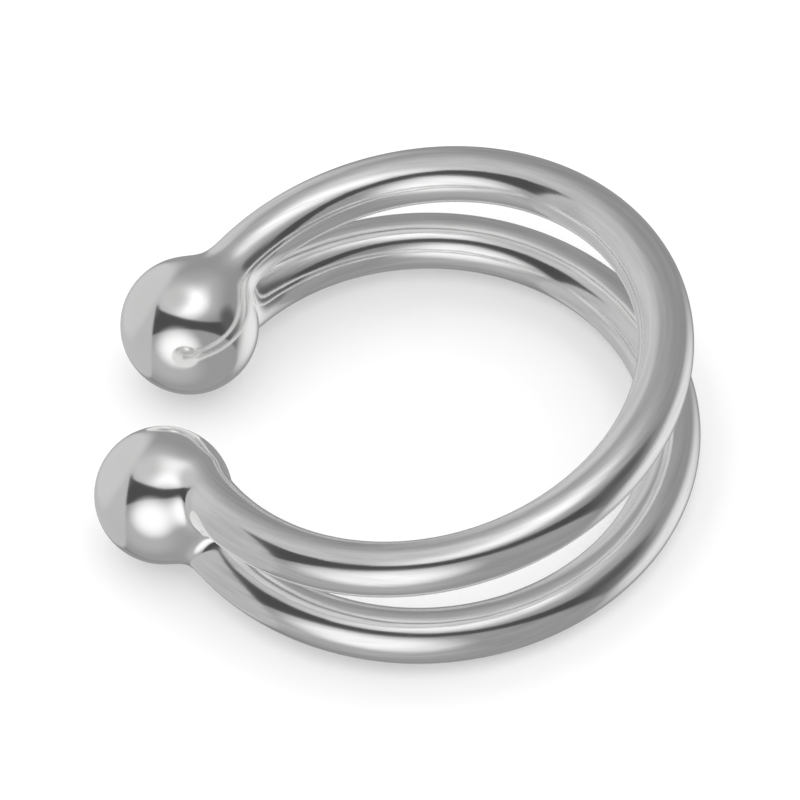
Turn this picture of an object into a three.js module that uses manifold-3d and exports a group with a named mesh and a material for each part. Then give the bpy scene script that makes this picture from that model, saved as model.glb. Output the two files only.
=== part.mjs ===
// An open ear cuff, laid on its side. Two round wires, a little oval in plan, leave one ball
// together, spread apart round the back of the ear and come together again in the other ball.
// Everything is cast in silver and soldered, so the whole cuff is one solid.
// Millimetres, +Z up. In its own frame the cuff's plane is XY, the gap between the balls looks
// along -X, and the wires mirror each other across that plane.

import * as THREE from 'three';
import { mergeVertices } from 'three/addons/utils/BufferGeometryUtils.js';
import Module from 'manifold-3d';

// Driving dimensions.
const RING_HALF_WIDTH = 5.5;      // wire centreline, across the gap
const RING_HALF_LENGTH = 5.06;    // wire centreline, along the gap
const WIRE_DIAMETER = 1.14;
const WIRE_TILT = THREE.MathUtils.degToRad(4.12);   // each wire's plane against the cuff's plane
const WIRE_RISE = 0.985;          // each wire's centreline off the cuff's plane at mid-length
const WIRE_STEP = 0.047;          // the upper wire stands this far back, the lower one forward
const BALL_DIAMETER = 2.82;
const BALLS = {                   // centres in the cuff's plane; hand finishing left them uneven
  left: { x: -4.90, y: 2.27 },
  right: { x: -5.11, y: -2.46 },
};
const NECK_LENGTH = 0.9;          // how far off a ball its solder runs along a wire
const NECK_SWELL = 0.16;          // what the solder adds to the wire's radius at the ball

// Facets.
const WIRE_SIDES = 14;
const WIRE_STEPS = 76;
const BALL_SIDES = 28;
const BALL_RINGS = 18;

const wireRadius = WIRE_DIAMETER / 2;
const ballRadius = BALL_DIAMETER / 2;

const wasm = await Module();
wasm.setup();

// One wire's centreline, from the right ball round the back to the left ball. side is 1 for
// the upper wire and -1 for the lower one.
class WireLine extends THREE.Curve {
  constructor(side) {
    super();
    this.side = side;
    this.from = this.angleAt(BALLS.right);
    this.to = this.angleAt(BALLS.left);
  }

  // The angle round the oval at which the wire passes closest to a ball's centre.
  angleAt(ball) {
    return Math.atan2(ball.y / RING_HALF_WIDTH, ball.x / RING_HALF_LENGTH);
  }

  getPoint(t, target = new THREE.Vector3()) {
    const angle = THREE.MathUtils.lerp(this.from, this.to, t);
    const along = RING_HALF_LENGTH * Math.cos(angle);
    return target.set(
      along * Math.cos(WIRE_TILT) + this.side * WIRE_STEP,
      RING_HALF_WIDTH * Math.sin(angle),
      this.side * (WIRE_RISE + along * Math.sin(WIRE_TILT)),
    );
  }
}

function toSolid(geometry) {
  const bare = geometry.clone();
  bare.deleteAttribute('normal');
  bare.deleteAttribute('uv');
  const merged = mergeVertices(bare, 1e-5);
  return new wasm.Manifold(new wasm.Mesh({
    numProp: 3,
    vertProperties: new Float32Array(merged.attributes.position.array),
    triVerts: new Uint32Array(merged.index.array),
  }));
}

function toGeometry(solid) {
  const mesh = solid.getMesh();
  const geometry = new THREE.BufferGeometry();
  geometry.setAttribute('position', new THREE.BufferAttribute(mesh.vertProperties, 3));
  geometry.setIndex(new THREE.BufferAttribute(mesh.triVerts, 1));
  geometry.computeVertexNormals();
  return geometry;
}

function wireGeometry(line) {
  const section = new THREE.Shape();
  section.absarc(0, 0, wireRadius, 0, 2 * Math.PI);
  return new THREE.ExtrudeGeometry(section, {
    curveSegments: WIRE_SIDES / 2,   // a full circle gets two sides for each
    steps: WIRE_STEPS,
    extrudePath: line,
  });
}

function ballGeometry(ball) {
  const geometry = new THREE.SphereGeometry(ballRadius, BALL_SIDES, BALL_RINGS);
  return geometry.translate(ball.x, ball.y, 0);
}

// A wire swells where it enters a ball: its section grows from full size one neck length off the
// ball's skin, slowly at first, as solder fills the corner between the two.
function swellEnds(geometry, line) {
  const position = geometry.attributes.position;
  const point = new THREE.Vector3();
  const centre = new THREE.Vector3();
  for (let i = 0; i < position.count; i += 1) {
    point.fromBufferAttribute(position, i);
    const angle = line.angleAt({ x: point.x - line.side * WIRE_STEP, y: point.y });
    line.getPoint((angle - line.from) / (line.to - line.from), centre);
    const ball = centre.y > 0 ? BALLS.left : BALLS.right;
    const offSkin = Math.hypot(centre.x - ball.x, centre.y - ball.y, centre.z) - ballRadius;
    const share = THREE.MathUtils.clamp(1 - offSkin / NECK_LENGTH, 0, 1);
    point.sub(centre).multiplyScalar(1 + NECK_SWELL / wireRadius * share ** 2).add(centre);
    position.setXYZ(i, point.x, point.y, point.z);
  }
  return geometry;
}

// How far the cuff leans when it lies on the two balls and on the back of the lower wire: the
// angle at which one floor touches all three.
function restLean() {
  const back = new WireLine(-1).getPoint(0.5);
  const ballX = (BALLS.left.x + BALLS.right.x) / 2;
  const span = back.x - ballX;
  const drop = -back.z;
  const radii = ballRadius - wireRadius;
  return Math.atan2(drop, span) - Math.asin(radii / Math.hypot(drop, span));
}

const silver = new THREE.MeshStandardMaterial({
  name: 'polished_silver',
  color: 0xd4d4d4,
  roughness: 0.12,
  metalness: 1,
});

let solid = toSolid(ballGeometry(BALLS.left)).add(toSolid(ballGeometry(BALLS.right)));
for (const side of [1, -1]) {
  const line = new WireLine(side);
  solid = solid.add(toSolid(swellEnds(wireGeometry(line), line)));
}

const earCuff = new THREE.Mesh(toGeometry(solid), silver);
earCuff.name = 'ear_cuff';

// Laid down: the back swings up round Y, then the lowest point comes to Z = 0 and the middle
// of the plan to the origin.
const laid = new THREE.Group();
laid.rotation.y = -restLean();
laid.add(earCuff);

const part = new THREE.Group();
part.name = 'double_wire_ear_cuff';
part.add(laid);
part.updateMatrixWorld(true);
const box = new THREE.Box3().setFromObject(laid, true);
laid.position.set(-(box.min.x + box.max.x) / 2, -(box.min.y + box.max.y) / 2, -box.min.z);

export default part;
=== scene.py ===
import math

import bmesh
import bpy
import numpy as np
from mathutils import Matrix, Vector


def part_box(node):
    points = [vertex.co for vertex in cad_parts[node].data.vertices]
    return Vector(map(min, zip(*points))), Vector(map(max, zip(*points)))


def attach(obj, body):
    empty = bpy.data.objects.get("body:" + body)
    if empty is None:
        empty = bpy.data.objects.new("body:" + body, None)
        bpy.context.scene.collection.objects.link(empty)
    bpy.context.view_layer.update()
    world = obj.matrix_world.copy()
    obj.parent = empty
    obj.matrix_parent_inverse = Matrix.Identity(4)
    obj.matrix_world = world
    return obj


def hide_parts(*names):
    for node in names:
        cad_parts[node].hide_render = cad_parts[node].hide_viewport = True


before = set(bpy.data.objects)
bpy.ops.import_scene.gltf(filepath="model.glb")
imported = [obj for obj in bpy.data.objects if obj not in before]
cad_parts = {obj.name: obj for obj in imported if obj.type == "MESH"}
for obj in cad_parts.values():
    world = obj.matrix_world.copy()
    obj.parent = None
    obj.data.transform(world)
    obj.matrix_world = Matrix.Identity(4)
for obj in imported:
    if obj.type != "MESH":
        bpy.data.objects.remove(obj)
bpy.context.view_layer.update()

# The two balls: solid silver beads, one at each side of the gap that the ear's edge slips into.
# They keep the wire ends from scratching. The cuff is shaped in millimetres in its own plane,
# with its middle at the origin and the gap towards minus X, and is only laid down at the end.
ball_radius = 1.41
balls = [Vector((-4.90, 2.27, 0)), Vector((-5.11, -2.46, 0))]
cuff = bmesh.new()
for ball in balls:
    bmesh.ops.create_icosphere(cuff, subdivisions=5, radius=ball_radius,
                               matrix=Matrix.Translation(ball))

# The two wires: round drawn silver, each bent to an open oval that runs from ball to ball.
# Their planes lean apart, so the wires nearly touch at the balls and stand open at the back.
ring_half_length = 5.06
ring_half_width = 5.5
wire_radius = 0.57
wire_tilt = math.radians(4.12)
wire_rise = 0.985
wire_step = 0.047


def angle_at(ball):
    """The angle round the oval at which the wires pass closest to a ball's centre."""
    return math.atan2(ball.y / ring_half_width, ball.x / ring_half_length)


def wire_plane(side):
    """The slanted plane that a wire is bent in: side is 1 for the upper one, -1 for the lower."""
    place = Matrix.Translation((side * wire_step, 0, side * wire_rise))
    return place @ Matrix.Rotation(-side * wire_tilt, 4, "Y")


wire_to, wire_from = (angle_at(ball) for ball in balls)
for side in (1, -1):
    known = set(cuff.verts)
    stand_up = Matrix.Rotation(wire_from, 4, "Z") @ Matrix.Translation((ring_half_width, 0, 0))
    bmesh.ops.create_circle(cuff, cap_ends=True, segments=20, radius=wire_radius,
                            matrix=stand_up @ Matrix.Rotation(math.pi / 2, 4, "X"))
    section = [vert for vert in cuff.verts if vert not in known]
    bmesh.ops.spin(cuff, geom=list(section[0].link_faces), cent=(0, 0, 0), axis=(0, 0, 1),
                   angle=wire_to - wire_from, steps=120)
    wire = [vert for vert in cuff.verts if vert not in known]
    oval = Matrix.Diagonal((ring_half_length / ring_half_width, 1, 1, 1))
    bmesh.ops.transform(cuff, matrix=wire_plane(side) @ oval, verts=wire)

# The joints: silver solder runs between wires and balls, so the cuff is one body, and is then
# filed to a hollow neck at each ball and a short web between the wires, with no seam left.
grain = 0.064
neck_fillet = 0.5
web_fillet = 0.9
# The wires' centrelines end this many radians before the balls' middles, inside the balls.
wire_tuck = 0.1
hair = 0.002
filing_strokes = 3
polish_rounds = 3

bmesh.ops.recalc_face_normals(cuff, faces=cuff.faces)
loose = bpy.data.objects.new("loose", bpy.data.meshes.new("loose"))
bpy.context.scene.collection.objects.link(loose)
cuff.to_mesh(loose.data)
cuff.free()
solder = loose.modifiers.new("solder", "REMESH")
solder.mode = "VOXEL"
solder.voxel_size = grain
silver = bpy.data.meshes.new_from_object(
    loose.evaluated_get(bpy.context.evaluated_depsgraph_get()))
silver.name = "double_wire_cuff"
bpy.data.objects.remove(loose)


def off_wire(points, side):
    """How far points lie off one wire's skin: four Newton steps find the oval's nearest point."""
    plane = np.array(wire_plane(side).inverted())
    along, across, rise = (points @ plane[:3, :3].T + plane[:3, 3]).T
    angle = np.arctan2(across / ring_half_width, along / ring_half_length)
    for _ in range(4):
        x = ring_half_length * np.cos(angle)
        y = ring_half_width * np.sin(angle)
        turn_x = -ring_half_length * np.sin(angle)
        turn_y = ring_half_width * np.cos(angle)
        slope = (x - along) * turn_x + (y - across) * turn_y
        bend = turn_x ** 2 + turn_y ** 2 - (x - along) * x - (y - across) * y
        angle = angle - slope / bend
    angle = np.clip(angle, wire_from + wire_tuck, wire_to - wire_tuck)
    x = ring_half_length * np.cos(angle)
    y = ring_half_width * np.sin(angle)
    return np.sqrt((x - along) ** 2 + (y - across) ** 2 + rise ** 2) - wire_radius


def filled(first, second, fillet):
    """Two skins as one, with a smooth hollow where they come closer than the fillet's width."""
    overlap = np.maximum(fillet - np.abs(first - second), 0)
    return np.minimum(first, second) - overlap ** 3 / (6 * fillet ** 2)


def off_skin(points):
    """How far points lie off the finished cuff's skin."""
    wires = filled(off_wire(points, 1), off_wire(points, -1), web_fillet)
    ends = [np.linalg.norm(points - np.array(ball), axis=1) - ball_radius for ball in balls]
    return filled(wires, np.minimum(*ends), neck_fillet)


def way_out(points):
    """Which way the skin faces at each point, from its height a hair to either side."""
    steps = np.eye(3) * hair
    slope = [(off_skin(points + step) - off_skin(points - step)) / (2 * hair) for step in steps]
    return np.array(slope).T


def file_down(mesh):
    """Moves each point of a mesh straight onto the finished skin."""
    points = np.empty(len(mesh.vertices) * 3)
    mesh.vertices.foreach_get("co", points)
    points = points.reshape(-1, 3)
    for _ in range(filing_strokes):
        slope = way_out(points)
        points -= slope * (off_skin(points) / (slope ** 2).sum(axis=1))[:, None]
    mesh.vertices.foreach_set("co", points.ravel())


file_down(silver)
for _ in range(polish_rounds):
    polish = bmesh.new()
    polish.from_mesh(silver)
    bmesh.ops.smooth_vert(polish, verts=polish.verts, factor=0.5, use_axis_x=True,
                          use_axis_y=True, use_axis_z=True)
    polish.to_mesh(silver)
    polish.free()
    file_down(silver)
silver.shade_smooth()

# The resting place: laid on its side, the cuff touches the table with both balls and the back
# of the lower wire, so its plane leans a little. It is scaled to metres on the way.
mm = 0.001
back = wire_plane(-1) @ Vector((ring_half_length, 0, 0))
span = back.x - (balls[0].x + balls[1].x) / 2
lean = math.atan2(-back.z, span) - math.asin((ball_radius - wire_radius) / math.hypot(back.z, span))
leant = Matrix.Rotation(-lean, 4, "Y") @ Matrix.Scale(mm, 4)
corners = np.array([leant @ vert.co for vert in silver.vertices])
low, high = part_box("ear_cuff")
middle = (corners.min(axis=0) + corners.max(axis=0)) / 2
laid_down = Matrix.Translation(((low.x + high.x) / 2 - middle[0],
                                (low.y + high.y) / 2 - middle[1],
                                low.z - corners[:, 2].min())) @ leant
silver.transform(laid_down)
piece = bpy.data.objects.new("double_wire_cuff", silver)
bpy.context.scene.collection.objects.link(piece)
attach(piece, "root")
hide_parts("ear_cuff")


def linear(code):
    """A hex sRGB colour as linear red, green, blue and alpha."""
    parts = [int(code[i:i + 2], 16) / 255 for i in (0, 2, 4)]
    return [p / 12.92 if p <= 0.04045 else ((p + 0.055) / 1.055) ** 2.4 for p in parts] + [1]


def add_node(tree, kind, links=(), **settings):
    """Adds a node with its settings. links are (input, value or another node's output) pairs."""
    node = tree.nodes.new(kind)
    for name, value in settings.items():
        setattr(node, name, value)
    for name, value in links:
        if isinstance(value, bpy.types.NodeSocket):
            tree.links.new(value, node.inputs[name])
        else:
            node.inputs[name].default_value = value
    return node


# Polished silver: buffed to a near mirror along the wires. Fine buffing lines and a slight
# waviness from the file soften the reflections, and thin tarnish dims the metal in patches.
# The waves are at most five thousandths of a millimetre deep and the lines about one.
wave_depth = 5e-6
line_depth = 1.2e-6
line_cells = (1.7, 8, 8)
lines_full = 2.3
polished_silver = bpy.data.materials.new("polished_silver")
polished_silver.use_nodes = True
tree = polished_silver.node_tree
metal = tree.nodes["Principled BSDF"]
metal.inputs["Metallic"].default_value = 1
upright = laid_down.inverted()
where = add_node(tree, "ShaderNodeTexCoord").outputs["Object"]
flat = add_node(tree, "ShaderNodeMapping", [
    ("Vector", where), ("Location", upright.to_translation()),
    ("Rotation", upright.to_euler()), ("Scale", upright.to_scale())]).outputs["Vector"]
parts = add_node(tree, "ShaderNodeSeparateXYZ", [("Vector", flat)]).outputs
round_ring = add_node(tree, "ShaderNodeMath", [(0, parts["Y"]), (1, parts["X"])],
                      operation="ARCTAN2").outputs["Value"]
plan = add_node(tree, "ShaderNodeVectorMath", [(0, flat), (1, (1, 1, 0))],
                operation="MULTIPLY").outputs["Vector"]
from_middle = add_node(tree, "ShaderNodeVectorMath", [(0, plan)],
                       operation="LENGTH").outputs["Value"]
along_wire = add_node(tree, "ShaderNodeCombineXYZ", [
    ("X", round_ring), ("Y", from_middle), ("Z", parts["Z"])]).outputs["Vector"]
# The pattern has 1.7 cells to a radian round the ring and 8 to a millimetre across the wire, so
# one buffing line is some 3 mm long and a tenth of a millimetre wide. The balls have none, and
# the lines are at full strength 2.3 mm from a ball's middle.
stretched = add_node(tree, "ShaderNodeVectorMath", [(0, along_wire), (1, line_cells)],
                     operation="MULTIPLY").outputs["Vector"]
lines = add_node(tree, "ShaderNodeTexNoise", [
    ("Vector", stretched), ("Scale", 1), ("Detail", 3), ("Roughness", 0.55)]).outputs["Fac"]
off_balls = [add_node(tree, "ShaderNodeVectorMath", [(0, flat), (1, ball)],
                      operation="DISTANCE").outputs["Value"] for ball in balls]
off_ball = add_node(tree, "ShaderNodeMath", [(0, off_balls[0]), (1, off_balls[1])],
                    operation="MINIMUM").outputs["Value"]
on_wire = add_node(tree, "ShaderNodeMapRange", [
    ("Value", off_ball), ("From Min", ball_radius), ("From Max", lines_full)]).outputs["Result"]
waves = add_node(tree, "ShaderNodeTexNoise", [
    ("Vector", flat), ("Scale", 0.55), ("Detail", 1)]).outputs["Fac"]
tarnish = add_node(tree, "ShaderNodeTexNoise", [
    ("Vector", flat), ("Scale", 0.9), ("Detail", 4)]).outputs["Fac"]
rubbed = add_node(tree, "ShaderNodeMapRange", [
    ("Value", lines), ("From Min", 0.35), ("From Max", 0.65)]).outputs["Result"]
streaked = add_node(tree, "ShaderNodeMath", [(0, rubbed), (1, on_wire)],
                    operation="MULTIPLY").outputs["Value"]
dulled = add_node(tree, "ShaderNodeMapRange", [
    ("Value", streaked), ("To Min", 0.10), ("To Max", 0.16)])
tarnished = add_node(tree, "ShaderNodeMix", [
    ("Factor", tarnish), (6, linear("f2f2f2")), (7, linear("e9e9e8"))], data_type="RGBA")
wavy = add_node(tree, "ShaderNodeBump", [("Height", waves), ("Distance", wave_depth)])
lined = add_node(tree, "ShaderNodeBump", [
    ("Height", lines), ("Distance", line_depth), ("Strength", on_wire),
    ("Normal", wavy.outputs["Normal"])])
toned = add_node(tree, "ShaderNodeMix", [
    ("Factor", streaked), (6, tarnished.outputs[2]), (7, linear("dfdfdf"))], data_type="RGBA")
tree.links.new(dulled.outputs["Result"], metal.inputs["Roughness"])
tree.links.new(toned.outputs[2], metal.inputs["Base Color"])
tree.links.new(lined.outputs["Normal"], metal.inputs["Normal"])
silver.materials.clear()
silver.materials.append(polished_silver)

# The table: a wide sheet of matt white paper that the cuff lies on. It is uncoated, so it has
# hardly any shine. A setting keeps the cuff from mirroring it.
sheet = bmesh.new()
bmesh.ops.create_grid(sheet, x_segments=1, y_segments=1, size=1)
table = bpy.data.objects.new("table", bpy.data.meshes.new("table"))
sheet.to_mesh(table.data)
sheet.free()
bpy.context.scene.collection.objects.link(table)
table.visible_glossy = False
paper = bpy.data.materials.new("matt_white_paper")
paper.use_nodes = True
paper.node_tree.nodes["Principled BSDF"].inputs["Base Color"].default_value = linear("f6f6f6")
paper.node_tree.nodes["Principled BSDF"].inputs["Roughness"].default_value = 0.9
table.data.materials.append(paper)

# The studio: a pale dome overhead and soft grey cards around the table. The dark band between
# the dome and the front card is what draws the thin dark lines along the wires.
gap_grey = 125
close_grey = 226
paper_grey = 255
backdrop_grey = 250
cuff_strength = 1.28
paper_strength = 1.06


def towards(azimuth, elevation):
    """The direction at this many degrees round from minus Y towards plus X, and up."""
    a = math.radians(azimuth)
    e = math.radians(elevation)
    return Vector((math.sin(a) * math.cos(e), -math.cos(a) * math.cos(e), math.sin(e)))


def grey(level):
    """A grey from 0 to 255 as a linear colour."""
    return linear("%02x%02x%02x" % ((level,) * 3))


studio = bpy.data.worlds.new("studio")
bpy.context.scene.world = studio
studio.use_nodes = True
tree = studio.node_tree
tree.nodes.clear()
direction = add_node(tree, "ShaderNodeTexCoord").outputs["Generated"]
# Each card's azimuth, elevation, radius of the full tone and radius of the soft edge, all in
# degrees, and its grey. A later card lies over the earlier ones.
cards = {
    "dome": (5, 102, 0, 70, 189),
    "dome_lamp": (0, 90, 9, 39, 255),
    "dome_side": (-100, 66, 0, 34, 186),
    "back_left": (-165, 28, 0, 56, 180),
    "dark_band": (-16, -53, 109, 112.5, 71),
    "dark_left": (-84, 34, 2, 12, 86),
    "back": (161, -22, 46, 106, 141),
    "dark_right": (86, 21, 2, 20, 88),
    "side_lamp": (117, -30, 0, 38, 220),
    "front": (0, -28, 66.5, 69.5, 146),
    "front_low": (-25, -28, 0, 52, 169),
    "front_lamp": (-14, 5, 5, 42, 246),
    "left_low": (-110, -11, 51, 54, 177),
    "left": (-126, 5, 32, 47, 190),
}
light = grey(gap_grey)
for azimuth, elevation, full, edge, level in cards.values():
    facing = add_node(tree, "ShaderNodeVectorMath", [
        (0, direction), (1, towards(azimuth, elevation))], operation="DOT_PRODUCT").outputs["Value"]
    reach = add_node(tree, "ShaderNodeMapRange", [
        ("Value", facing), ("From Min", math.cos(math.radians(edge))),
        ("From Max", math.cos(math.radians(full)))], interpolation_type="SMOOTHSTEP")
    card = add_node(tree, "ShaderNodeMix", [("Factor", reach.outputs["Result"]), (6, light),
                    (7, grey(level))], data_type="RGBA")
    light = card.outputs[2]
path = add_node(tree, "ShaderNodeLightPath").outputs
# A ray that bounces twice on the cuff sees a pale grey instead of the cards, the more so the
# lower it leaves, as the bright paper close around a real cuff would lighten it.
height = add_node(tree, "ShaderNodeSeparateXYZ", [("Vector", direction)]).outputs["Z"]
lowness = add_node(tree, "ShaderNodeMapRange", [
    ("Value", height), ("From Min", 1), ("From Max", 0.1)]).outputs["Result"]
twice = add_node(tree, "ShaderNodeMath", [(0, path["Glossy Depth"]), (1, 1)],
                 operation="SUBTRACT", use_clamp=True).outputs["Value"]
seen_close = add_node(tree, "ShaderNodeMath", [(0, twice), (1, lowness)], operation="MULTIPLY")
close = add_node(tree, "ShaderNodeMix", [("Factor", seen_close.outputs["Value"]), (6, light),
                 (7, grey(close_grey))], data_type="RGBA")
cuff_light = add_node(tree, "ShaderNodeBackground", [
    ("Color", close.outputs[2]), ("Strength", cuff_strength)])
# The paper is lit evenly from all round, so that the cuff throws only a faint shadow on it.
paper_light = add_node(tree, "ShaderNodeBackground", [
    ("Color", grey(paper_grey)), ("Strength", paper_strength)])
by_use = add_node(tree, "ShaderNodeMixShader", [
    ("Fac", path["Diffuse Depth"]), (1, cuff_light.outputs[0]), (2, paper_light.outputs[0])])
backdrop = add_node(tree, "ShaderNodeBackground", [("Color", grey(backdrop_grey))])
seen = add_node(tree, "ShaderNodeMixShader", [
    ("Fac", path["Is Camera Ray"]), (1, by_use.outputs[0]), (2, backdrop.outputs[0])])
add_node(tree, "ShaderNodeOutputWorld", [("Surface", seen.outputs[0])])

# A weak lamp adds a little light from straight above. Neither it nor the paper is mirrored.
lamp = bpy.data.objects.new("overhead", bpy.data.lights.new("overhead", "AREA"))
lamp.data.shape = "DISK"
lamp.data.size = 0.3
lamp.data.energy = 0.1
lamp.location = (0, 0, 0.15)
lamp.visible_glossy = False
bpy.context.scene.collection.objects.link(lamp)

# The camera: one without perspective, like a very long lens, over the near edge of the table and
# turned a little on its side. Its measures are in millimetres and degrees.
view_width = 16.26
aim_height = 1.8
camera_distance = 100
camera_azimuth = 5.9
camera_elevation = 46.8
camera_roll = -2.73
camera = bpy.data.objects.new("camera", bpy.data.cameras.new("camera"))
camera.data.type = "ORTHO"
camera.data.ortho_scale = view_width * mm
camera.data.clip_start = 0.001
camera.data.clip_end = 1
bpy.context.scene.collection.objects.link(camera)
view_from = towards(camera_azimuth, camera_elevation)
roll = Matrix.Rotation(math.radians(camera_roll), 4, "Z")
aim = Vector((0, 0, aim_height * mm))
camera.matrix_world = (Matrix.Translation(aim + view_from * camera_distance * mm)
                       @ view_from.to_track_quat("Z", "Y").to_matrix().to_4x4() @ roll)
bpy.context.scene.camera = camera
bpy.context.scene.view_settings.view_transform = "Standard"
